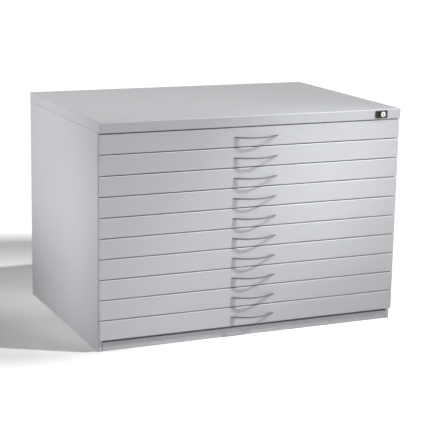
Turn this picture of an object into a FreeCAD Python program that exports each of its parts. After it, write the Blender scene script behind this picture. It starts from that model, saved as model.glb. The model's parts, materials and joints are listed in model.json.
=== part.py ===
import FreeCAD, Part
import Sketcher
import os

# Steel plan chest: ten shallow drawers on telescopic rails in a folded sheet casing.
# Frame: +Z up, the drawers open towards -Y, and the origin is on the floor, in the
# middle of the chest's outline (casing and handles together).

DRAWER_COUNT = 10

SIZES = {
    # casing, folded from sheet
    "casing_width": 1100.0,
    "casing_depth": 765.0,
    "casing_sheet": 1.0,
    "fold_radius": 2.0,
    "jamb_width": 14.0,
    "jamb_lip": 60.0,
    "rear_lip": 70.0,
    "floor_flange": 25.0,
    "top_flange": 20.0,
    "flange_clearance": 1.0,
    # cover
    "cover_rim": 35.0,
    "cover_radius": 2.5,
    "cover_lip": 3.5,
    "cover_flange": 22.0,
    # base and plinth
    "plinth_zone": 40.0,
    "plinth_height": 30.0,
    "plinth_gap": 1.75,
    "base_setback": 16.0,
    "base_height": 37.0,
    "base_flange": 20.0,
    # back
    "back_inset": 2.0,
    "back_flange": 12.0,
    # drawer front
    "front_height": 66.0,
    "front_gap": 2.5,
    "front_inset": 1.0,
    "front_depth": 9.0,
    "front_standoff": 6.0,
    "front_sheet": 0.8,
    "front_radius": 2.5,
    "front_back_lip": 10.0,
    # drawer tray
    "tray_rise": 6.0,
    "tray_height": 52.0,
    "tray_depth": 695.0,
    "tray_sheet": 0.8,
    "tray_hood": 60.0,
    "tray_front_hem": 15.0,
    "tray_side_hem": 8.0,
    # telescopic rails, three nested members on each side
    "rail_thickness": 13.0,
    "rail_height": 35.0,
    "rail_sheet": 1.2,
    "rail_gap": 0.4,
    "rail_length": 700.0,
    "rail_start": 8.0,
    "rail_rise": 8.0,
    "rail_side_gap": 1.0,
    # bow handle
    "handle_span": 163.0,
    "handle_reach": 29.0,
    "handle_bar": 4.5,
    "handle_foot": 19.0,
    "handle_thickness": 4.0,
    "handle_rounding": 1.2,
    "handle_drop": 0.5,
    # lock housing in the cover's rim
    "lock_inset": 77.0,
    "lock_plate_width": 47.0,
    "lock_plate_height": 27.0,
    "lock_plate_proud": 4.0,
    "lock_plate_margin": 2.0,
    "lock_plate_radius": 3.5,
    "lock_plate_rounding": 1.8,
    "lock_body_depth": 26.0,
    "lock_fit": 0.2,
    "lock_window_width": 13.0,
    "lock_window_height": 19.0,
    "lock_window_depth": 6.0,
    "lock_window_edge": 4.0,
    "lock_window_radius": 1.5,
    "lock_rib_width": 2.5,
    "lock_rib_height": 4.0,
    # lock cylinder
    "cylinder_offset": 5.5,
    "cylinder_radius": 9.0,
    "cylinder_proud": 1.0,
    "cylinder_play": 0.05,
    "cylinder_chamfer": 0.8,
    "key_slot_width": 2.2,
    "key_slot_height": 9.0,
    "key_slot_depth": 8.0,
    "cam_radius": 12.0,
    "cam_thickness": 3.0,
    "cam_pin_radius": 2.0,
    "cam_pin_length": 3.5,
    "lock_gap": 0.3,
    # lock bar and the hooks that it catches
    "lock_stroke": 8.0,
    "bar_sheet": 2.0,
    "bar_width": 5.0,
    "bar_tail": 10.0,
    "yoke_slack": 2.0,
    "yoke_wall": 3.5,
    "tab_length": 5.0,
    "tab_height": 5.0,
    "tab_gap": 1.0,
    "hook_sheet": 2.0,
    "hook_rise": 30.0,
    "hook_height": 14.0,
    "hook_notch": 8.5,
    "hook_nose": 4.0,
}

doc = FreeCAD.newDocument("plan_chest")
sheet = doc.addObject("Spreadsheet::Sheet", "Sizes")
for row, (alias, size) in enumerate(SIZES.items(), start=1):
    sheet.set(f"A{row}", alias)
    sheet.set(f"B{row}", str(size))
    sheet.setAlias(f"B{row}", alias)
doc.recompute()

# Places that several pieces share, as expressions on the sheet
PITCH = "(Sizes.front_height + Sizes.front_gap)"
RIM_BOTTOM = f"(Sizes.plinth_zone + {DRAWER_COUNT} * {PITCH})"
CASING_TOP = f"({RIM_BOTTOM} + Sizes.cover_rim)"
HALF_WIDTH = "(Sizes.casing_width / 2)"
FACE_Y = "((Sizes.handle_reach + Sizes.cover_lip - Sizes.casing_depth) / 2)"
COVER_Y = f"({FACE_Y} - Sizes.cover_lip)"
BACK_Y = f"({COVER_Y} + Sizes.casing_depth)"
FRONT_BACK_Y = f"({FACE_Y} + Sizes.front_depth)"
JAMB_Y = f"({FRONT_BACK_Y} + Sizes.front_standoff)"
JAMB_X = f"({HALF_WIDTH} - Sizes.jamb_width)"
FRONT_X = f"({HALF_WIDTH} - Sizes.front_inset)"
TRAY_X = f"({JAMB_X} - Sizes.rail_thickness)"
TRAY_Z = "(Sizes.plinth_zone + Sizes.tray_rise)"
TRAY_TOP = f"({TRAY_Z} + Sizes.tray_height)"
BASE_FRONT_Y = f"({JAMB_Y} + Sizes.base_setback)"
HANDLE_Z = "(Sizes.plinth_zone + Sizes.front_height / 2 - Sizes.handle_drop)"
LOCK_X = f"({HALF_WIDTH} - Sizes.lock_inset)"
LOCK_Z = f"({RIM_BOTTOM} + Sizes.cover_rim / 2)"
CYLINDER_X = f"({LOCK_X} + Sizes.cylinder_offset)"
PLATE_Y = f"({COVER_Y} - Sizes.lock_plate_proud)"
CAM_Y = f"({COVER_Y} + Sizes.lock_body_depth + Sizes.lock_gap)"
BAR_Y = f"({CAM_Y} + Sizes.cam_thickness + Sizes.lock_gap)"
BAR_BACK_Y = f"({BAR_Y} + Sizes.bar_sheet)"
BAR_X = f"({JAMB_X} + Sizes.casing_sheet + Sizes.lock_gap)"
BAR_OUTER_X = f"({BAR_X} + Sizes.bar_width)"
HOOK_X = f"({BAR_OUTER_X} + Sizes.tab_gap)"
HOOK_Z = "(Sizes.plinth_zone + Sizes.hook_rise)"
HOOK_TOP = f"({HOOK_Z} + Sizes.hook_height)"


def value(expression):
    """The number that an expression has now."""
    return float(sheet.evalExpression(expression))


# Sketch plane, the property that moves it along its normal, and whether +axis is that normal
PLANES = {"XY": ("XY_Plane", 1), "XZ": ("XZ_Plane", -1), "YZ": ("YZ_Plane", 1)}


def origin_feature(body, role):
    """One of the body's own origin planes or axes."""
    return next(item for item in body.Origin.OriginFeatures if item.Role == role)


def new_body(name):
    """An empty body that may hold several solids."""
    body = doc.addObject("PartDesign::Body", name)
    body.Label = name
    body.AllowCompound = True
    return body


def new_sketch(body, name, plane, level):
    """A sketch parallel to an origin plane, at a level along its axis."""
    role, sense = PLANES[plane]
    sketch = body.newObject("Sketcher::SketchObject", f"{body.Name}_{name}_sketch")
    sketch.AttachmentSupport = [(origin_feature(body, role), "")]
    sketch.MapMode = "FlatFace"
    sketch.setExpression("AttachmentOffset.Base.z", f"{sense} * {level}")
    return sketch


def place_point(sketch, geometry, vertex, across, up):
    """Hold one point of a sketch at two expressions."""
    for kind, expression in (("DistanceX", across), ("DistanceY", up)):
        constraint = Sketcher.Constraint(kind, -1, 1, geometry, vertex, value(expression))
        index = sketch.addConstraint(constraint)
        sketch.setExpression(f"Constraints[{index}]", expression)


def draw_outline(sketch, points):
    """A closed outline through points that are pairs of expressions."""
    first = sketch.GeometryCount
    places = [FreeCAD.Vector(value(across), value(up), 0) for across, up in points]
    for index, place in enumerate(places):
        sketch.addGeometry(Part.LineSegment(place, places[(index + 1) % len(places)]))
    for index, (across, up) in enumerate(points):
        after = (index + 1) % len(points)
        sketch.addConstraint(Sketcher.Constraint("Coincident", first + index, 2, first + after, 1))
        place_point(sketch, first + index, 1, across, up)


def draw_circle(sketch, across, up, radius):
    """A circle whose centre and radius are expressions."""
    centre = FreeCAD.Vector(value(across), value(up), 0)
    index = sketch.addGeometry(Part.Circle(centre, FreeCAD.Vector(0, 0, 1), value(radius)))
    place_point(sketch, index, 3, across, up)
    constraint = sketch.addConstraint(Sketcher.Constraint("Radius", index, value(radius)))
    sketch.setExpression(f"Constraints[{constraint}]", radius)


def extrude(body, kind, name, plane, sketch, depth):
    """Pad or pocket a sketch by depth, towards the plus side of its plane's axis."""
    feature = body.newObject(f"PartDesign::{kind}", f"{body.Name}_{name}")
    feature.Profile = sketch
    feature.setExpression("Length", depth)
    along_normal = PLANES[plane][1] > 0
    feature.Reversed = along_normal if kind == "Pocket" else not along_normal
    sketch.Visibility = False
    doc.recompute()
    return feature


def pad(body, name, plane, level, depth, *outlines):
    """Add the outlines' area, from level to level plus depth."""
    sketch = new_sketch(body, name, plane, level)
    for points in outlines:
        draw_outline(sketch, points)
    return extrude(body, "Pad", name, plane, sketch, depth)


def pocket(body, name, plane, level, depth, *outlines):
    """Take the outlines' area away, from level to level plus depth."""
    sketch = new_sketch(body, name, plane, level)
    for points in outlines:
        draw_outline(sketch, points)
    return extrude(body, "Pocket", name, plane, sketch, depth)


def pad_circle(body, name, level, depth, across, up, radius):
    """Add a round boss along Y."""
    sketch = new_sketch(body, name, "XZ", level)
    draw_circle(sketch, across, up, radius)
    return extrude(body, "Pad", name, "XZ", sketch, depth)


def pocket_circle(body, name, level, depth, across, up, radius):
    """Take a round hole away along Y."""
    sketch = new_sketch(body, name, "XZ", level)
    draw_circle(sketch, across, up, radius)
    return extrude(body, "Pocket", name, "XZ", sketch, depth)


def repeat_up(body, feature):
    """Repeat a feature once for each drawer, a pitch apart."""
    pattern = body.newObject("PartDesign::LinearPattern", f"{feature.Name}_rows")
    pattern.Originals = [feature]
    pattern.Direction = (origin_feature(body, "Z_Axis"), [""])
    pattern.Occurrences = DRAWER_COUNT
    pattern.setExpression("Length", f"{DRAWER_COUNT - 1} * {PITCH}")
    body.Tip = pattern
    doc.recompute()
    return pattern


def round_edges(body, name, radius, wanted):
    """Fillet the edges of the body's tip whose middle point and direction are wanted."""
    tip = body.Tip
    names = []
    for index, edge in enumerate(tip.Shape.Edges, start=1):
        if edge.Degenerated:
            continue
        middle = edge.valueAt((edge.FirstParameter + edge.LastParameter) / 2)
        if wanted(middle, edge.tangentAt(edge.FirstParameter)):
            names.append(f"Edge{index}")
    fillet = body.newObject("PartDesign::Fillet", f"{body.Name}_{name}")
    fillet.Base = (tip, names)
    fillet.setExpression("Radius", radius)
    doc.recompute()
    return fillet


def hollow_out(body, wall, open_face):
    """Turn the body's block into a shell of one wall thickness, open at the wanted face."""
    tip = body.Tip
    names = [
        f"Face{index}"
        for index, face in enumerate(tip.Shape.Faces, start=1)
        if open_face(face.CenterOfMass)
    ]
    shell = body.newObject("PartDesign::Thickness", f"{body.Name}_shell")
    shell.Base = (tip, names)
    shell.setExpression("Value", wall)
    shell.Reversed = True
    doc.recompute()
    return shell


def rectangle(low_across, low_up, high_across, high_up):
    """The four corners of an upright rectangle."""
    return [
        (low_across, low_up),
        (high_across, low_up),
        (high_across, high_up),
        (low_across, high_up),
    ]


def mirror(points, side):
    """The same outline on the left, side -1, or on the right, side 1."""
    return [(f"{side} * {across}", up) for across, up in points]


def near(first, second):
    """Whether two lengths are the same one."""
    return abs(first - second) < value("Sizes.casing_sheet / 10")


def lies_along(direction, axis):
    """Whether a direction lies along an axis, given by its letter."""
    shares = {"x": abs(direction.x), "y": abs(direction.y), "z": abs(direction.z)}
    return shares.pop(axis) > sum(shares.values())


# Casing

def side_panel(name, side):
    """A side sheet with box-folded jambs, whose lips carry the rails, and end flanges."""
    body = new_body(name)
    rear_y = f"({BACK_Y} - Sizes.casing_sheet)"
    lip_x = f"({JAMB_X} + Sizes.casing_sheet)"
    skin_x = f"({HALF_WIDTH} - Sizes.casing_sheet)"
    section = [
        (HALF_WIDTH, JAMB_Y),
        (HALF_WIDTH, rear_y),
        (JAMB_X, rear_y),
        (JAMB_X, f"{rear_y} - Sizes.rear_lip"),
        (lip_x, f"{rear_y} - Sizes.rear_lip"),
        (lip_x, f"{rear_y} - Sizes.casing_sheet"),
        (skin_x, f"{rear_y} - Sizes.casing_sheet"),
        (skin_x, f"{JAMB_Y} + Sizes.casing_sheet"),
        (lip_x, f"{JAMB_Y} + Sizes.casing_sheet"),
        (lip_x, f"{JAMB_Y} + Sizes.jamb_lip"),
        (JAMB_X, f"{JAMB_Y} + Sizes.jamb_lip"),
        (JAMB_X, JAMB_Y),
    ]
    pad(body, "section", "XY", "0", RIM_BOTTOM, mirror(section, side))
    floor_start = f"({BASE_FRONT_Y} + Sizes.flange_clearance)"
    floor = rectangle(f"({HALF_WIDTH} - Sizes.floor_flange)", floor_start, skin_x, rear_y)
    pad(body, "floor_flange", "XY", "0", "Sizes.casing_sheet", mirror(floor, side))
    top = rectangle(f"({HALF_WIDTH} - Sizes.top_flange)", JAMB_Y, skin_x, rear_y)
    top_level = f"({RIM_BOTTOM} - Sizes.casing_sheet)"
    pad(body, "top_flange", "XY", top_level, "Sizes.casing_sheet", mirror(top, side))
    outer_x = side * value(HALF_WIDTH)
    round_edges(
        body, "top_fold", "Sizes.fold_radius",
        lambda middle, along: lies_along(along, "y")
        and near(middle.z, value(RIM_BOTTOM)) and near(middle.x, outer_x),
    )
    round_edges(
        body, "folds", "Sizes.fold_radius",
        lambda middle, along: lies_along(along, "z") and near(middle.x, outer_x),
    )
    return body


def bar_passage():
    """The hole that the lock bar runs through where it crosses a flange."""
    return rectangle(
        f"({BAR_X} - Sizes.flange_clearance)",
        f"({BAR_Y} - Sizes.flange_clearance)",
        f"({BAR_OUTER_X} + Sizes.flange_clearance)",
        f"({BAR_BACK_Y} + Sizes.flange_clearance)",
    )


def left_side_panel():
    """The left side, without lock cut-outs."""
    return side_panel("left_side_panel", -1)


def right_side_panel():
    """The right side, with slots for the drawers' hooks and for the lock bar."""
    body = side_panel("right_side_panel", 1)
    level = f"({RIM_BOTTOM} - Sizes.casing_sheet)"
    pocket(body, "bar_passage", "XY", level, "Sizes.casing_sheet", bar_passage())
    slot = rectangle(
        f"({HOOK_X} - Sizes.tab_gap)",
        f"({HOOK_Z} - Sizes.tab_gap)",
        f"({HOOK_X} + Sizes.hook_sheet + Sizes.tab_gap)",
        f"({HOOK_TOP} + Sizes.tab_gap)",
    )
    slots = pocket(body, "hook_slot", "XZ", JAMB_Y, "Sizes.casing_sheet", slot)
    repeat_up(body, slots)
    return body


def back_panel():
    """The back sheet, with a flange at its top and bottom edge."""
    body = new_body("back_panel")
    half = f"({HALF_WIDTH} - Sizes.back_inset)"
    inside_y = f"({BACK_Y} - Sizes.casing_sheet)"
    outline = rectangle(f"-{half}", "0", half, RIM_BOTTOM)
    pad(body, "skin", "XZ", inside_y, "Sizes.casing_sheet", outline)
    for end, level, side_flange in (
        ("bottom", "0", "Sizes.floor_flange"),
        ("top", f"({RIM_BOTTOM} - Sizes.casing_sheet)", "Sizes.top_flange"),
    ):
        reach = f"({HALF_WIDTH} - {side_flange} - Sizes.flange_clearance)"
        flange = rectangle(f"-{reach}", f"({inside_y} - Sizes.back_flange)", reach, inside_y)
        pad(body, f"{end}_flange", "XY", level, "Sizes.casing_sheet", flange)
    round_edges(
        body, "folds", "Sizes.fold_radius",
        lambda middle, along: near(middle.y, value(BACK_Y)) and lies_along(along, "x"),
    )
    return body


def top_cover():
    """A folded cover with a closed rim and a seat flange all round."""
    body = new_body("top_cover")
    outline = rectangle(f"-{HALF_WIDTH}", COVER_Y, HALF_WIDTH, BACK_Y)
    pad(body, "block", "XY", RIM_BOTTOM, "Sizes.cover_rim", outline)
    round_edges(
        body, "folds", "Sizes.cover_radius",
        lambda middle, along: near(middle.z, value(CASING_TOP)) or lies_along(along, "z"),
    )

    def inset(margin):
        return rectangle(
            f"-({HALF_WIDTH} - {margin})",
            f"({COVER_Y} + {margin})",
            f"({HALF_WIDTH} - {margin})",
            f"({BACK_Y} - {margin})",
        )

    hollow_out(body, "Sizes.casing_sheet", lambda middle: near(middle.z, value(RIM_BOTTOM)))
    flange = (inset("Sizes.casing_sheet"), inset("Sizes.cover_flange"))
    pad(body, "seat_flange", "XY", RIM_BOTTOM, "Sizes.casing_sheet", *flange)
    round_edges(
        body, "seat_folds", "Sizes.fold_radius",
        lambda middle, along: near(middle.z, value(RIM_BOTTOM))
        and (near(abs(middle.x), value(HALF_WIDTH)) or near(middle.y, value(COVER_Y))
             or near(middle.y, value(BACK_Y))),
    )
    pocket(body, "bar_passage", "XY", RIM_BOTTOM, "Sizes.casing_sheet", bar_passage())
    pocket(body, "lock_hole", "XZ", COVER_Y, "Sizes.casing_sheet", lock_body_outline("Sizes.lock_fit"))
    return body


def base_panel():
    """The casing's floor, a shallow pan turned down at its four edges."""
    body = new_body("base_panel")
    inside_y = f"({BACK_Y} - Sizes.casing_sheet)"
    underside = "(Sizes.base_height - Sizes.base_flange)"
    outline = rectangle(f"-{JAMB_X}", BASE_FRONT_Y, JAMB_X, inside_y)
    pad(body, "block", "XY", underside, "Sizes.base_flange", outline)
    hollow = rectangle(
        f"-({JAMB_X} - Sizes.casing_sheet)",
        f"({BASE_FRONT_Y} + Sizes.casing_sheet)",
        f"({JAMB_X} - Sizes.casing_sheet)",
        f"({inside_y} - Sizes.casing_sheet)",
    )
    pocket(body, "hollow", "XY", underside, "(Sizes.base_flange - Sizes.casing_sheet)", hollow)
    return body


def plinth_panel():
    """The plinth, folded back at its top and bottom edge as far as the base panel."""
    body = new_body("plinth_panel")
    half = f"({JAMB_X} - Sizes.plinth_gap)"
    skin_y = f"({JAMB_Y} + Sizes.casing_sheet)"
    section = [
        (JAMB_Y, "0"),
        (BASE_FRONT_Y, "0"),
        (BASE_FRONT_Y, "Sizes.casing_sheet"),
        (skin_y, "Sizes.casing_sheet"),
        (skin_y, "(Sizes.plinth_height - Sizes.casing_sheet)"),
        (BASE_FRONT_Y, "(Sizes.plinth_height - Sizes.casing_sheet)"),
        (BASE_FRONT_Y, "Sizes.plinth_height"),
        (JAMB_Y, "Sizes.plinth_height"),
    ]
    pad(body, "section", "YZ", f"(-{half})", f"(2 * {half})", section)
    round_edges(
        body, "fold", "Sizes.fold_radius",
        lambda middle, along: near(middle.y, value(JAMB_Y)) and lies_along(along, "x"),
    )
    return body


# Telescopic rails

RAIL_STEP = "(Sizes.rail_sheet + Sizes.rail_gap)"
RAIL_MIDDLE_Z = f"({TRAY_Z} + Sizes.rail_rise + Sizes.rail_height / 2)"
RAIL_EDGE_X = f"({TRAY_X} + Sizes.rail_side_gap)"


def channel(web_x, edge_x, inner_x, layer):
    """A C-shaped rail section: its web at web_x, and its flanges as far as edge_x."""
    half = f"(Sizes.rail_height / 2 - {layer} * {RAIL_STEP})"
    inner_half = f"({half} - Sizes.rail_sheet)"
    return [
        (web_x, f"({RAIL_MIDDLE_Z} - {half})"),
        (web_x, f"({RAIL_MIDDLE_Z} + {half})"),
        (edge_x, f"({RAIL_MIDDLE_Z} + {half})"),
        (edge_x, f"({RAIL_MIDDLE_Z} + {inner_half})"),
        (inner_x, f"({RAIL_MIDDLE_Z} + {inner_half})"),
        (inner_x, f"({RAIL_MIDDLE_Z} - {inner_half})"),
        (edge_x, f"({RAIL_MIDDLE_Z} - {inner_half})"),
        (edge_x, f"({RAIL_MIDDLE_Z} - {half})"),
    ]


def rail_pair(name, section):
    """One rail on each side of the drawer."""
    body = new_body(name)
    level = f"({JAMB_Y} + Sizes.rail_start)"
    rails = pad(body, "pair", "XZ", level, "Sizes.rail_length", mirror(section, -1), mirror(section, 1))
    return body, rails


def casing_rails():
    """The outer rails, fixed to the jambs' lips, a pair for each drawer."""
    section = channel(JAMB_X, RAIL_EDGE_X, f"({JAMB_X} - Sizes.rail_sheet)", 0)
    body, rails = rail_pair("casing_rails", section)
    repeat_up(body, rails)
    return body


def middle_rails():
    """The pair that runs between a drawer's rails and the casing's."""
    web_x = f"({JAMB_X} - {RAIL_STEP})"
    return rail_pair("middle_rails", channel(web_x, RAIL_EDGE_X, f"({web_x} - Sizes.rail_sheet)", 1))[0]


def drawer_rails():
    """The pair that is fixed to a drawer's sides."""
    edge_x = f"({JAMB_X} - 2 * {RAIL_STEP})"
    return rail_pair("drawer_rails", channel(TRAY_X, edge_x, f"({TRAY_X} + Sizes.rail_sheet)", 2))[0]


# Drawer

def drawer_front():
    """A front pan with returned edges, and the hook that the lock bar catches."""
    body = new_body("drawer_front")
    top_z = "(Sizes.plinth_zone + Sizes.front_height)"

    def inset(margin):
        return rectangle(
            f"-({FRONT_X} - {margin})",
            f"(Sizes.plinth_zone + {margin})",
            f"({FRONT_X} - {margin})",
            f"({top_z} - {margin})",
        )

    pad(body, "block", "XZ", FACE_Y, "Sizes.front_depth", inset("0"))
    round_edges(
        body, "folds", "Sizes.front_radius",
        lambda middle, along: near(middle.y, value(FACE_Y)),
    )
    hollow_out(body, "Sizes.front_sheet", lambda middle: near(middle.y, value(FRONT_BACK_Y)))
    lip_y = f"({FRONT_BACK_Y} - Sizes.front_sheet)"
    lips = (inset("Sizes.front_sheet"), inset("Sizes.front_back_lip"))
    pad(body, "back_lips", "XZ", lip_y, "Sizes.front_sheet", *lips)
    notch_front = f"({BAR_Y} - Sizes.tab_gap)"
    notch_back = f"({BAR_BACK_Y} + Sizes.tab_gap)"
    notch_floor = f"({HOOK_TOP} - Sizes.hook_notch)"
    nose_y = f"({notch_back} + Sizes.hook_nose)"
    hook = [
        (lip_y, HOOK_Z),
        (nose_y, HOOK_Z),
        (nose_y, HOOK_TOP),
        (notch_back, HOOK_TOP),
        (notch_back, notch_floor),
        (notch_front, notch_floor),
        (notch_front, HOOK_TOP),
        (lip_y, HOOK_TOP),
    ]
    pad(body, "hook", "YZ", HOOK_X, "Sizes.hook_sheet", hook)
    return body


def drawer_tray():
    """A sheet tray with hemmed sides, a front hem and a paper hood at the back."""
    body = new_body("drawer_tray")
    back_y = f"({FRONT_BACK_Y} + Sizes.tray_depth)"

    def plan(side, front, back):
        return rectangle(
            f"-({TRAY_X} - {side})",
            f"({FRONT_BACK_Y} + {front})",
            f"({TRAY_X} - {side})",
            f"({back_y} - {back})",
        )

    wall = "Sizes.tray_sheet"
    pad(body, "block", "XY", TRAY_Z, "Sizes.tray_height", plan("0", "0", "0"))
    floor_z = f"({TRAY_Z} + Sizes.tray_sheet)"
    hollow = "(Sizes.tray_height - 2 * Sizes.tray_sheet)"
    pocket(body, "hollow", "XY", floor_z, hollow, plan(wall, wall, wall))
    mouth = plan("Sizes.tray_side_hem", "Sizes.tray_front_hem", "Sizes.tray_hood")
    pocket(body, "mouth", "XY", f"({TRAY_TOP} - Sizes.tray_sheet)", "Sizes.tray_sheet", mouth)
    return body


def draw_bow(sketch, half, reach):
    """An arc from foot to foot that stands out from the drawer's face by its reach."""
    face = value(FACE_Y)
    left = FreeCAD.Vector(-value(half), face, 0)
    right = FreeCAD.Vector(value(half), face, 0)
    arc = sketch.addGeometry(Part.Arc(left, FreeCAD.Vector(0, face - value(reach), 0), right))
    for vertex in (1, 2):
        side = 1 if sketch.getPoint(arc, vertex).x > 0 else -1
        place_point(sketch, arc, vertex, f"{side} * {half}", FACE_Y)
    radius = f"(({half} ^ 2 + {reach} ^ 2) / (2 * {reach}))"
    constraint = sketch.addConstraint(Sketcher.Constraint("Radius", arc, value(radius)))
    sketch.setExpression(f"Constraints[{constraint}]", radius)


def drawer_handle():
    """A flat bow between two arcs, wide at its two feet and slim in its middle."""
    body = new_body("drawer_handle")
    outline = new_sketch(body, "bow", "XY", f"({HANDLE_Z} - Sizes.handle_thickness / 2)")
    outer = "(Sizes.handle_span / 2)"
    inner = f"({outer} - Sizes.handle_foot)"
    draw_bow(outline, outer, "Sizes.handle_reach")
    draw_bow(outline, inner, "(Sizes.handle_reach - Sizes.handle_bar)")
    for side in (-1, 1):
        ends = [FreeCAD.Vector(side * value(half), value(FACE_Y), 0) for half in (outer, inner)]
        foot = outline.addGeometry(Part.LineSegment(*ends))
        place_point(outline, foot, 1, f"{side} * {outer}", FACE_Y)
        place_point(outline, foot, 2, f"{side} * {inner}", FACE_Y)
    extrude(body, "Pad", "bow", "XY", outline, "Sizes.handle_thickness")
    round_edges(
        body, "edges", "Sizes.handle_rounding",
        lambda middle, along: not near(middle.y, value(FACE_Y)),
    )
    return body


# Lock

def lock_body_outline(margin):
    """The lock body's outline where it passes through the cover's rim."""
    half_width = f"(Sizes.lock_plate_width / 2 - Sizes.lock_plate_margin + {margin})"
    half_height = f"(Sizes.lock_plate_height / 2 - Sizes.lock_plate_margin + {margin})"
    return rectangle(
        f"({LOCK_X} - {half_width})",
        f"({LOCK_Z} - {half_height})",
        f"({LOCK_X} + {half_width})",
        f"({LOCK_Z} + {half_height})",
    )


def lock_housing():
    """The lock's plate and body, with the cylinder's bore and a ribbed window beside it."""
    body = new_body("lock_housing")
    plate = lock_body_outline("Sizes.lock_plate_margin")
    pad(body, "plate", "XZ", PLATE_Y, "Sizes.lock_plate_proud", plate)
    round_edges(
        body, "corners", "Sizes.lock_plate_radius",
        lambda middle, along: lies_along(along, "y"),
    )
    round_edges(
        body, "rim", "Sizes.lock_plate_rounding",
        lambda middle, along: near(middle.y, value(PLATE_Y)),
    )
    pad(body, "block", "XZ", COVER_Y, "Sizes.lock_body_depth", lock_body_outline("0"))
    bore = "(Sizes.cylinder_radius + Sizes.cylinder_play)"
    depth = "(Sizes.lock_plate_proud + Sizes.lock_body_depth)"
    pocket_circle(body, "bore", PLATE_Y, depth, CYLINDER_X, LOCK_Z, bore)
    window_x = f"({LOCK_X} - Sizes.lock_plate_width / 2 + Sizes.lock_window_edge)"
    window_end = f"({window_x} + Sizes.lock_window_width)"
    window_low = f"({LOCK_Z} - Sizes.lock_window_height / 2)"
    window_high = f"({LOCK_Z} + Sizes.lock_window_height / 2)"
    window = rectangle(window_x, window_low, window_end, window_high)
    pocket(body, "window", "XZ", PLATE_Y, "Sizes.lock_window_depth", window)
    ends = (value(window_low), value(window_high))
    round_edges(
        body, "window_corners", "Sizes.lock_window_radius",
        lambda middle, along: lies_along(along, "y") and any(near(middle.z, end) for end in ends),
    )
    rib_x = f"({window_x} + Sizes.lock_window_width / 2)"
    rib = rectangle(
        f"({rib_x} - Sizes.lock_rib_width / 2)",
        window_low,
        f"({rib_x} + Sizes.lock_rib_width / 2)",
        window_high,
    )
    rib_y = f"({PLATE_Y} + Sizes.lock_window_depth - Sizes.lock_rib_height)"
    pad(body, "rib", "XZ", rib_y, "Sizes.lock_rib_height", rib)
    return body


def lock_cylinder():
    """The lock's plug with its key slot, and the cam and pin that drive the bar."""
    body = new_body("lock_cylinder")
    nose_y = f"({PLATE_Y} - Sizes.cylinder_proud)"
    pad_circle(body, "plug", nose_y, f"({CAM_Y} - {nose_y})", CYLINDER_X, LOCK_Z, "Sizes.cylinder_radius")
    round_edges(
        body, "nose", "Sizes.cylinder_chamfer",
        lambda middle, along: near(middle.y, value(nose_y)),
    )
    slot = rectangle(
        f"({CYLINDER_X} - Sizes.key_slot_width / 2)",
        f"({LOCK_Z} - Sizes.key_slot_height / 2)",
        f"({CYLINDER_X} + Sizes.key_slot_width / 2)",
        f"({LOCK_Z} + Sizes.key_slot_height / 2)",
    )
    pocket(body, "key_slot", "XZ", nose_y, "Sizes.key_slot_depth", slot)
    pad_circle(body, "cam", CAM_Y, "Sizes.cam_thickness", CYLINDER_X, LOCK_Z, "Sizes.cam_radius")
    pin_y = f"({CAM_Y} + Sizes.cam_thickness)"
    pin_x = f"({CYLINDER_X} + Sizes.lock_stroke)"
    pad_circle(body, "pin", pin_y, "Sizes.cam_pin_length", pin_x, LOCK_Z, "Sizes.cam_pin_radius")
    return body


def lock_bar():
    """A flat bar: a yoke arm over the cam pin, a strip down the jamb and a tab per drawer."""
    body = new_body("lock_bar")
    yoke_low = f"({LOCK_Z} - Sizes.cam_pin_radius - Sizes.yoke_slack)"
    yoke_high = f"({LOCK_Z} + Sizes.cam_pin_radius + Sizes.lock_gap)"
    yoke_left = f"({CYLINDER_X} - Sizes.cam_pin_radius - Sizes.lock_gap)"
    yoke_right = f"({CYLINDER_X} + Sizes.lock_stroke + Sizes.cam_pin_radius + Sizes.lock_gap)"
    tail_z = f"({HOOK_Z} - Sizes.bar_tail)"
    arm = [
        (BAR_X, tail_z),
        (BAR_OUTER_X, tail_z),
        (BAR_OUTER_X, f"({yoke_high} + Sizes.yoke_wall)"),
        (f"({yoke_left} - Sizes.yoke_wall)", f"({yoke_high} + Sizes.yoke_wall)"),
        (f"({yoke_left} - Sizes.yoke_wall)", f"({yoke_low} - Sizes.yoke_wall)"),
        (BAR_X, f"({yoke_low} - Sizes.yoke_wall)"),
    ]
    pad(body, "blank", "XZ", BAR_Y, "Sizes.bar_sheet", arm)
    yoke = rectangle(yoke_left, yoke_low, yoke_right, yoke_high)
    pocket(body, "yoke", "XZ", BAR_Y, "Sizes.bar_sheet", yoke)
    tab_z = f"({HOOK_TOP} + Sizes.tab_gap)"
    tab = rectangle(BAR_X, tab_z, f"({BAR_OUTER_X} + Sizes.tab_length)", f"({tab_z} + Sizes.tab_height)")
    tabs = pad(body, "tab", "XZ", BAR_Y, "Sizes.bar_sheet", tab)
    repeat_up(body, tabs)
    return body


# The pieces, each named by its label

pieces = [
    left_side_panel(),
    right_side_panel(),
    back_panel(),
    top_cover(),
    base_panel(),
    plinth_panel(),
    casing_rails(),
    lock_housing(),
    lock_cylinder(),
    lock_bar(),
]

# Each drawer is the same set of pieces, numbered from the top
for master in (drawer_front(), drawer_tray(), drawer_handle(), drawer_rails(), middle_rails()):
    for number in range(1, DRAWER_COUNT + 1):
        piece = doc.addObject("App::Link", f"{master.Name}_{number:02d}")
        piece.Label = f"{master.Name}_{number:02d}"
        piece.LinkedObject = master
        piece.setExpression("Placement.Base.z", f"{DRAWER_COUNT - number} * {PITCH}")
        pieces.append(piece)
doc.recompute()

for item in doc.Objects:
    if "Invalid" in item.State or "Error" in item.State:
        raise RuntimeError(f"{item.Label} did not build: {item.State}")
for piece in pieces:
    shape = piece.Shape
    if shape.isNull() or not shape.isValid() or not shape.Solids:
        raise RuntimeError(f"{piece.Label} has no valid solid")

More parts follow.
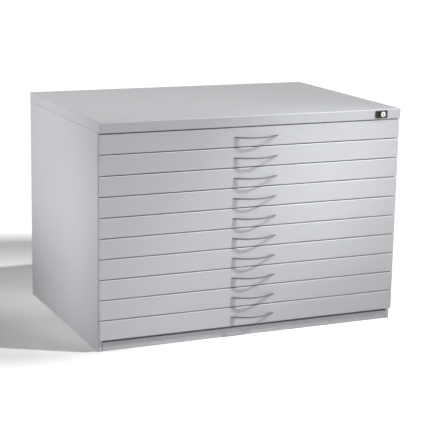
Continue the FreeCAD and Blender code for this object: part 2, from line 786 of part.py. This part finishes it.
os.makedirs("parts", exist_ok=True)
for piece in pieces:
    piece.Shape.exportStep(f"parts/{piece.Label}.step")
    print(f"{piece.Label}: {len(piece.Shape.Solids)} solid(s), {piece.Shape.Volume:.0f} mm3")
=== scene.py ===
"""Looks of a steel plan chest with ten shallow drawers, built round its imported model.

Every length is in metres, in the model's own frame: +X to the right as one faces the
drawers, -Y the way they open, +Z up.
"""
import json
import math

import bmesh
import bpy
from mathutils import Matrix, Vector

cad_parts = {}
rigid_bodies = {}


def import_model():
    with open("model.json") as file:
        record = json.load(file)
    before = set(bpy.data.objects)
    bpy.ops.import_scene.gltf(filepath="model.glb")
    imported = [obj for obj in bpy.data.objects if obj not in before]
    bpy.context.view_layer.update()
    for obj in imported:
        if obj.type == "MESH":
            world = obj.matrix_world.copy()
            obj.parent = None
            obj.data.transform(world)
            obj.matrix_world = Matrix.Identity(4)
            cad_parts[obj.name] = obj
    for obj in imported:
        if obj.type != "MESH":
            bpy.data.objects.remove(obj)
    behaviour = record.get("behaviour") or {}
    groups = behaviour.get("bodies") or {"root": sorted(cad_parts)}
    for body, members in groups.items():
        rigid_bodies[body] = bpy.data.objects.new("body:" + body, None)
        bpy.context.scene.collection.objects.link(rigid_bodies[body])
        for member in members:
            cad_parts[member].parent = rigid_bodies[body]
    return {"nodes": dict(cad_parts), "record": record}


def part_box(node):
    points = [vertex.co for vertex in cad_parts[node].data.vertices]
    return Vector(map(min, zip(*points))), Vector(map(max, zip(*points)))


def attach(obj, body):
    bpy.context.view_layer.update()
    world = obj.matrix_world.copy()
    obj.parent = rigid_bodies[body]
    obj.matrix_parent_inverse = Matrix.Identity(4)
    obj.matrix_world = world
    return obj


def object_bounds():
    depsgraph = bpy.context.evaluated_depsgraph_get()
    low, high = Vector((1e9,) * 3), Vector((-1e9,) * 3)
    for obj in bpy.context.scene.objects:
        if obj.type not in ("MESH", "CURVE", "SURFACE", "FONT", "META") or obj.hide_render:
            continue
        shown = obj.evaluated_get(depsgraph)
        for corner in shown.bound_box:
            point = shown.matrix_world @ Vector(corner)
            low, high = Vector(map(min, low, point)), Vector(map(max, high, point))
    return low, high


MM = 0.001
WHITE = (1.0, 1.0, 1.0, 1.0)

for item in list(bpy.data.objects):
    bpy.data.objects.remove(item)

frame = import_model()
cad_low, cad_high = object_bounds()
nodes = frame["nodes"]
base_color = {entry["slot"]: entry["base_color"] for entry in frame["record"]["materials"]}
drawer_numbers = sorted(name[-2:] for name in nodes if name.startswith("drawer_front_"))


# Finishes

class Finish:
    """A procedural material, and short calls that wire its nodes."""

    def __init__(self, name, color, roughness, metallic=0.0):
        self.material = bpy.data.materials.new(name)
        self.material.use_nodes = True
        self.tree = self.material.node_tree
        self.shader = self.tree.nodes["Principled BSDF"]
        self.color = color
        self.put(self.shader, "Base Color", (*color, 1.0))
        self.put(self.shader, "Roughness", roughness)
        self.put(self.shader, "Metallic", metallic)

    def put(self, node, socket, value):
        """Set a socket, or link another node's output to it."""
        if isinstance(value, bpy.types.NodeSocket):
            self.tree.links.new(value, node.inputs[socket])
        else:
            node.inputs[socket].default_value = value

    def add(self, kind, **sockets):
        """A new node, with the sockets named by words joined with underscores."""
        node = self.tree.nodes.new(kind)
        for name, value in sockets.items():
            self.put(node, name.replace("_", " "), value)
        return node

    def place(self, stretch=(1.0, 1.0, 1.0), centre=(0.0, 0.0, 0.0)):
        """A point of the piece, from a centre, stretched along each axis."""
        start = self.add("ShaderNodeTexCoord").outputs["Object"]
        moved = self.add("ShaderNodeVectorMath")
        moved.operation = "SUBTRACT"
        self.put(moved, 0, start)
        self.put(moved, 1, centre)
        scaled = self.add("ShaderNodeVectorMath")
        scaled.operation = "MULTIPLY"
        self.put(scaled, 0, moved.outputs[0])
        self.put(scaled, 1, stretch)
        return scaled.outputs[0]

    def distance(self, centre, stretch=(1.0, 1.0, 1.0)):
        """How far a point of the piece is from a centre."""
        node = self.add("ShaderNodeVectorMath")
        node.operation = "LENGTH"
        self.put(node, 0, self.place(stretch, centre))
        return node.outputs["Value"]

    def noise(self, place, size, detail=2.0, roughness=0.5):
        """Cloudy noise from 0 to 1, whose blots are about size across."""
        node = self.add("ShaderNodeTexNoise", Vector=place, Scale=1.0 / size, Detail=detail,
                        Roughness=roughness)
        return node.outputs["Fac"]

    def cells(self, place, size):
        """A number from 0 to 1 for each cell of about that size."""
        node = self.add("ShaderNodeTexVoronoi", Vector=place, Scale=1.0 / size)
        split = self.add("ShaderNodeSeparateColor", Color=node.outputs["Color"])
        return split.outputs[0]

    def span(self, source, low, high, start=0.0, end=1.0):
        """The source's range from start to end, turned into low to high."""
        node = self.add("ShaderNodeMapRange", Value=source, From_Min=start, From_Max=end,
                        To_Min=low, To_Max=high)
        return node.outputs["Result"]

    def total(self, *sources):
        """The sum of several numbers."""
        result = sources[0]
        for source in sources[1:]:
            node = self.add("ShaderNodeMath")
            node.operation = "ADD"
            self.put(node, 0, result)
            self.put(node, 1, source)
            result = node.outputs[0]
        return result

    def shade(self, factor, change, other=None):
        """Colour between a darker and a lighter tone of the finish, or of another colour."""
        node = self.add("ShaderNodeMix")
        node.data_type = "RGBA"
        light = other or self.color
        self.put(node, 0, factor)
        self.put(node, 6, (*(part * (1.0 - change) for part in self.color), 1.0))
        self.put(node, 7, (*(part * (1.0 + change) for part in light), 1.0))
        self.put(self.shader, "Base Color", node.outputs[2])

    def relief(self, height, depth):
        """Small relief of that depth."""
        node = self.add("ShaderNodeBump", Height=height, Distance=depth, Strength=1.0)
        self.put(self.shader, "Normal", node.outputs["Normal"])


def powder_coat(name, slot, roughness=0.45, metallic=0.2):
    """Silver-grey powder coat: orange peel, fine flakes and a faint clouding."""
    finish = Finish(name, base_color[slot], roughness, metallic)
    finish.put(finish.shader, "Specular IOR Level", 0.4)
    place = finish.place()
    flakes = finish.cells(place, 0.35 * MM)
    clouds = finish.noise(place, 180 * MM)
    peel = finish.noise(place, 2.2 * MM, detail=1.0)
    grain = finish.noise(place, 0.5 * MM, detail=1.0)
    finish.shade(finish.total(finish.span(flakes, 0.2, 0.6), finish.span(clouds, 0.0, 0.2)), 0.07)
    finish.put(finish.shader, "Roughness", finish.span(grain, roughness - 0.06, roughness + 0.06))
    finish.relief(finish.total(peel, finish.span(grain, 0.0, 0.35)), 0.02 * MM)
    return finish.material


def handle_coat():
    """Bow handles: a dark grey coat, smoother than the casing's."""
    finish = Finish("handle_coat", base_color["handle_metal"], 0.34)
    place = finish.place()
    flakes = finish.cells(place, 0.35 * MM)
    peel = finish.noise(place, 1.6 * MM, detail=1.0)
    finish.shade(flakes, 0.08)
    finish.put(finish.shader, "Roughness", finish.span(peel, 0.3, 0.38))
    finish.relief(peel, 0.01 * MM)
    return finish.material


def zinc_plate(name, slot):
    """Bright zinc on rolled strip, with lines along its length and a faint warm cast."""
    finish = Finish(name, base_color[slot], 0.3, 1.0)
    rolled = finish.noise(finish.place((50.0, 1.0, 50.0)), 60 * MM, detail=3.0)
    cast = finish.noise(finish.place(), 40 * MM, detail=3.0)
    warm = tuple(part * share for part, share in zip(base_color[slot], (1.04, 1.02, 0.94)))
    mottle = finish.total(finish.span(rolled, 0.0, 0.5), finish.span(cast, 0.0, 0.5))
    finish.shade(mottle, 0.06, warm)
    finish.put(finish.shader, "Roughness", finish.span(cast, 0.24, 0.4))
    finish.relief(rolled, 0.008 * MM)
    return finish.material


def moulded_plastic():
    """The lock housing: black, with a fine moulded grain."""
    finish = Finish("moulded_plastic", base_color["lock_plastic"], 0.4)
    grain = finish.noise(finish.place(), 0.4 * MM, detail=2.0)
    finish.shade(grain, 0.15)
    finish.put(finish.shader, "Roughness", finish.span(grain, 0.34, 0.48))
    finish.relief(grain, 0.015 * MM)
    return finish.material


def turned_nickel():
    """The lock cylinder: nickel with the rings that turning left on its nose."""
    low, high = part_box("lock_cylinder")
    housing_low, housing_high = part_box("lock_housing")
    middle_z = (housing_low.z + housing_high.z) / 2
    finish = Finish("turned_nickel", base_color["lock_nickel"], 0.24, 1.0)
    away = finish.distance(((low.x + high.x) / 2, 0.0, middle_z), (1.0, 0.0, 1.0))
    rings = finish.noise(away, 0.25 * MM, detail=2.0)
    finish.shade(rings, 0.05)
    finish.put(finish.shader, "Roughness", finish.span(rings, 0.18, 0.32))
    finish.relief(rings, 0.006 * MM)
    return finish.material


def rubber():
    """Buffers behind the drawer fronts."""
    finish = Finish("rubber", (0.03, 0.03, 0.032), 0.7)
    grain = finish.noise(finish.place(), 0.6 * MM)
    finish.shade(grain, 0.2)
    finish.relief(grain, 0.03 * MM)
    return finish.material


finishes = {
    "casing_paint": powder_coat("casing_coat", "casing_paint"),
    "front_paint": powder_coat("front_coat", "front_paint"),
    "tray_paint": powder_coat("tray_coat", "tray_paint"),
    "handle_metal": handle_coat(),
    "rail_zinc": zinc_plate("rail_plate", "rail_zinc"),
    "lock_plastic": moulded_plastic(),
    "lock_nickel": turned_nickel(),
    "lock_steel": zinc_plate("bar_plate", "lock_steel"),
}
for part in frame["record"]["subparts"]:
    for material_slot in nodes[part["node"]].material_slots:
        material_slot.material = finishes[part["material_slot"]]


# Small pieces that the drawers carry

SHARP_ANGLE = 35.0


def turned_piece(bm, centre, axis, profile, sides=24):
    """A round body about an axis through centre, from (radius, height) pairs."""
    turn = Vector((0, 0, 1)).rotation_difference(Vector(axis))
    rings = []
    for radius, height in profile:
        ring = []
        for step in range(sides):
            angle = 2 * math.pi * step / sides
            spot = Vector((radius * math.cos(angle), radius * math.sin(angle), height))
            ring.append(bm.verts.new(Vector(centre) + turn @ spot))
        rings.append(ring)
    for lower, upper in zip(rings, rings[1:]):
        for step in range(sides):
            after = (step + 1) % sides
            bm.faces.new((lower[step], lower[after], upper[after], upper[step]))
    bm.faces.new(reversed(rings[0]))
    bm.faces.new(rings[-1])


def build_piece(name, material, body, shapes):
    """One piece made of several turned bodies, which rides on a body of the model."""
    bm = bmesh.new()
    for centre, axis, profile in shapes:
        turned_piece(bm, centre, axis, profile)
    mesh = bpy.data.meshes.new(name)
    bm.to_mesh(mesh)
    bm.free()
    mesh.materials.append(material)
    for face in mesh.polygons:
        face.use_smooth = True
    mesh.set_sharp_from_angle(angle=math.radians(SHARP_ANGLE))
    piece = bpy.data.objects.new(name, mesh)
    bpy.context.scene.collection.objects.link(piece)
    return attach(piece, body)


BUFFER_RADIUS = 4.0 * MM
BUFFER_GAP = 0.3 * MM
BUFFER_RISE = 11.0 * MM
BUFFER_PROFILE_SHARES = ((1.0, 0.0), (1.0, 0.6), (0.85, 1.0))
SCREW_RADIUS = 3.6 * MM
SCREW_HEIGHT = 1.8 * MM
SCREW_PROFILE_SHARES = ((1.0, 0.0), (1.0, 0.35), (0.8, 0.85), (0.4, 1.0))
SCREW_PLACE_SHARES = (0.06, 0.5, 0.94)
RAIL_SHEET = 1.2 * MM


def buffers(number, material):
    """Four rubber buffers behind a drawer front, which meet the jambs when it shuts."""
    low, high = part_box(f"drawer_front_{number}")
    panel_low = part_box("left_side_panel")[0]
    tray_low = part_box(f"drawer_tray_{number}")[0]
    start = tray_low.y
    length = panel_low.y - start - BUFFER_GAP
    middle_x = (abs(tray_low.x) + abs(low.x)) / 2 + BUFFER_RADIUS
    profile = [(BUFFER_RADIUS * wide, length * deep) for wide, deep in BUFFER_PROFILE_SHARES]
    shapes = []
    for side in (-1, 1):
        for height in (low.z + BUFFER_RISE, high.z - BUFFER_RISE):
            shapes.append(((side * middle_x, start, height), (0, 1, 0), profile))
    return build_piece(f"buffers_{number}", material, f"drawer_{number}", shapes)


def rail_screws(number, material):
    """Low screw heads in the channels of a drawer's own rails."""
    low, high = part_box(f"drawer_rails_{number}")
    tray_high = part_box(f"drawer_tray_{number}")[1]
    middle_z = (low.z + high.z) / 2
    profile = [(SCREW_RADIUS * wide, SCREW_HEIGHT * deep) for wide, deep in SCREW_PROFILE_SHARES]
    shapes = []
    for side in (-1, 1):
        for share in SCREW_PLACE_SHARES:
            place_y = low.y + share * (high.y - low.y)
            seat = (side * (tray_high.x + RAIL_SHEET), place_y, middle_z)
            shapes.append((seat, (side, 0, 0), profile))
    return build_piece(f"rail_screws_{number}", material, f"drawer_{number}", shapes)


rubber_finish = rubber()
for number in drawer_numbers:
    buffers(number, rubber_finish)
    rail_screws(number, finishes["rail_zinc"])


# Camera, fitted to the photograph's corners and seams

PHOTO_SIDE = 435
CAMERA_AZIMUTH = -24.18
CAMERA_ELEVATION = 12.67
CAMERA_ROLL = 1.03
CAMERA_DISTANCE = 5.029
CAMERA_RIGHT = 0.0309
CAMERA_UP = -0.0455
FOCAL_PIXELS = 1394.3


def add_camera():
    """A camera that looks at the casing's middle from the photograph's side."""
    cover_low, cover_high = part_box("top_cover")
    aim = Vector((0.0, (cover_low.y + cover_high.y) / 2, cover_high.z / 2))
    azimuth = math.radians(CAMERA_AZIMUTH)
    elevation = math.radians(CAMERA_ELEVATION)
    roll = math.radians(CAMERA_ROLL)
    back = Vector((
        math.sin(azimuth) * math.cos(elevation),
        -math.cos(azimuth) * math.cos(elevation),
        math.sin(elevation),
    ))
    right = Vector((math.cos(azimuth), math.sin(azimuth), 0.0))
    up = back.cross(right)
    across = right * math.cos(roll) + up * math.sin(roll)
    upright = up * math.cos(roll) - right * math.sin(roll)
    data = bpy.data.cameras.new("camera")
    data.lens = FOCAL_PIXELS / PHOTO_SIDE * data.sensor_width
    camera = bpy.data.objects.new("camera", data)
    bpy.context.scene.collection.objects.link(camera)
    place = aim + back * CAMERA_DISTANCE + right * CAMERA_RIGHT + up * CAMERA_UP
    turn = Matrix((across, upright, back)).transposed().to_4x4()
    camera.matrix_world = Matrix.Translation(place) @ turn
    bpy.context.scene.camera = camera


add_camera()


# Studio

FLOOR_SIZE = 60.0
FLOOR_DROP = 0.2 * MM
AMBIENT = 0.03
SUN_STRENGTH = 2.1
SUN_TOWARDS = (1.7, -1.0, 1.8)
SUN_ANGLE = 2.0

# Floor: lamps' bounces see FLOOR_BOUNCE and the camera sees FLOOR_WHITE. The emission set by the
# SHADE_ and FILL_ numbers is painted: painted shade round the chest's floor shadow, and a painted
# patch of light behind the chest.
FLOOR_BOUNCE = 0.35
FLOOR_WHITE = 0.92
FLOOR_GLOW = 0.65
SHADE_CENTRE = (-0.6, 0.45, 0.0)
SHADE_NEAR = 0.78
SHADE_FAR = 1.0
PAINTED_FLOOR_FILL = 0.3
FILL_CENTRE = (-0.6, 0.6, 0.0)
FILL_NEAR = 0.2
FILL_FAR = 0.55

# Where each lamp is, what it shines at, its size, its power, and the angle of a spot's
# cone. Softboxes give their side as size, and spots their radius.
LAMPS = {
    "left_softbox": ((-1.4, -2.2, 0.7), (0.0, 0.0, 0.38), 1.0, 7.5, None),
    "upper_right": ((0.6, -3.2, 1.4), (0.46, -0.37, 0.6), 0.3, 182.0, 22.0),
    "middle_right": ((0.6, -3.2, 1.4), (0.24, -0.37, 0.47), 0.3, 78.0, 17.0),
    "lower_left": ((0.0, -3.4, 1.0), (-0.25, -0.37, 0.3), 0.3, 68.0, 16.0),
    "handles": ((2.55, -1.87, 3.08), (0.1, -0.37, 0.45), 0.05, 190.0, 12.0),
    "side": ((-3.2, 1.2, 1.4), (-0.55, 0.1, 0.5), 0.3, 290.0, 30.0),
    "side_foot": ((-3.2, -0.4, 0.9), (-0.55, -0.15, 0.2), 0.3, 150.0, 14.0),
    "front_edge": ((0.9, -1.7, 2.8), (-0.12, -0.34, 0.79), 0.3, 66.0, 23.0),
}


def add_floor():
    """A pale floor seen white by the camera, which keeps the lamps' shadow. Lamplight and an
    emission that grows to FLOOR_GLOW away from SHADE_CENTRE make it white. The emission is
    painted light. It is left out near SHADE_CENTRE, which is painted shade that darkens and
    widens the chest's shadow on the floor. Near FILL_CENTRE, behind the chest's left back corner,
    it adds a painted patch of light.
    """
    bm = bmesh.new()
    bmesh.ops.create_grid(bm, x_segments=1, y_segments=1, size=FLOOR_SIZE / 2)
    mesh = bpy.data.meshes.new("floor")
    bm.to_mesh(mesh)
    bm.free()
    floor = bpy.data.objects.new("floor", mesh)
    floor.location.z = -FLOOR_DROP
    bpy.context.scene.collection.objects.link(floor)
    finish = Finish("floor_paper", (FLOOR_BOUNCE,) * 3, 1.0)
    finish.put(finish.shader, "Specular IOR Level", 0.0)
    seen = finish.add("ShaderNodeBsdfDiffuse", Color=(FLOOR_WHITE, FLOOR_WHITE, FLOOR_WHITE, 1.0))
    # Painted shade: no emission near SHADE_CENTRE, so the floor round the chest's shadow stays
    # dark.
    painted_shade_ramp = finish.span(finish.distance(SHADE_CENTRE), 0.0, FLOOR_GLOW, SHADE_NEAR, SHADE_FAR)
    # Painted light: a patch of emission near FILL_CENTRE lightens the dark corner behind the
    # chest.
    painted_light_patch = finish.span(finish.distance(FILL_CENTRE), PAINTED_FLOOR_FILL, 0.0, FILL_NEAR, FILL_FAR)
    glow = finish.add("ShaderNodeEmission", Color=WHITE, Strength=finish.total(painted_shade_ramp, painted_light_patch))
    lit_plus_painted_emission = finish.add("ShaderNodeAddShader")
    finish.put(lit_plus_painted_emission, 0, seen.outputs[0])
    finish.put(lit_plus_painted_emission, 1, glow.outputs[0])
    choice = finish.add("ShaderNodeMixShader")
    finish.put(choice, 0, background_ray(finish))
    finish.put(choice, 1, finish.shader.outputs[0])
    finish.put(choice, 2, lit_plus_painted_emission.outputs[0])
    finish.put(finish.tree.nodes["Material Output"], "Surface", choice.outputs[0])
    mesh.materials.append(finish.material)


def background_ray(finish):
    """1 where the camera, a reflection or glass sees the background."""
    path = finish.add("ShaderNodeLightPath")
    return finish.total(path.outputs["Is Camera Ray"], path.outputs["Is Glossy Ray"],
                        path.outputs["Is Transmission Ray"])


def add_world():
    """White behind the object, and an even light of AMBIENT from all round."""
    world = bpy.data.worlds.new("studio")
    bpy.context.scene.world = world
    world.use_nodes = True
    tree = world.node_tree
    background = tree.nodes["Background"]
    background.inputs["Color"].default_value = WHITE
    path = tree.nodes.new("ShaderNodeLightPath")
    seen = path.outputs["Is Camera Ray"]
    for kind in ("Is Glossy Ray", "Is Transmission Ray"):
        joined = tree.nodes.new("ShaderNodeMath")
        joined.operation = "MAXIMUM"
        tree.links.new(seen, joined.inputs[0])
        tree.links.new(path.outputs[kind], joined.inputs[1])
        seen = joined.outputs[0]
    strength = tree.nodes.new("ShaderNodeMapRange")
    strength.inputs["To Min"].default_value = AMBIENT
    strength.inputs["To Max"].default_value = 1.0
    tree.links.new(seen, strength.inputs["Value"])
    tree.links.new(strength.outputs["Result"], background.inputs["Strength"])


def add_lamp(name, kind, place, aim):
    """A lamp at a place that shines at a point."""
    data = bpy.data.lights.new(name, kind)
    lamp = bpy.data.objects.new(name, data)
    lamp.location = place
    lamp.rotation_mode = "QUATERNION"
    lamp.rotation_quaternion = (Vector(place) - Vector(aim)).to_track_quat("Z", "Y")
    bpy.context.scene.collection.objects.link(lamp)
    return data


def add_lamps():
    """A bright key that throws the handles' shadows, and spots and a softbox round it."""
    middle = Vector((0.0, 0.0, cad_high.z / 2))
    key = add_lamp("key", "SUN", middle + Vector(SUN_TOWARDS), middle)
    key.energy = SUN_STRENGTH
    key.angle = math.radians(SUN_ANGLE)
    for name, (place, aim, size, power, cone) in LAMPS.items():
        data = add_lamp(name, "SPOT" if cone else "AREA", place, aim)
        data.energy = power
        if cone:
            data.spot_size = math.radians(cone)
            data.spot_blend = 1.0
            data.shadow_soft_size = size
        else:
            data.shape = "SQUARE"
            data.size = size


add_floor()
add_world()
add_lamps()
bpy.context.scene.view_settings.view_transform = "Standard"
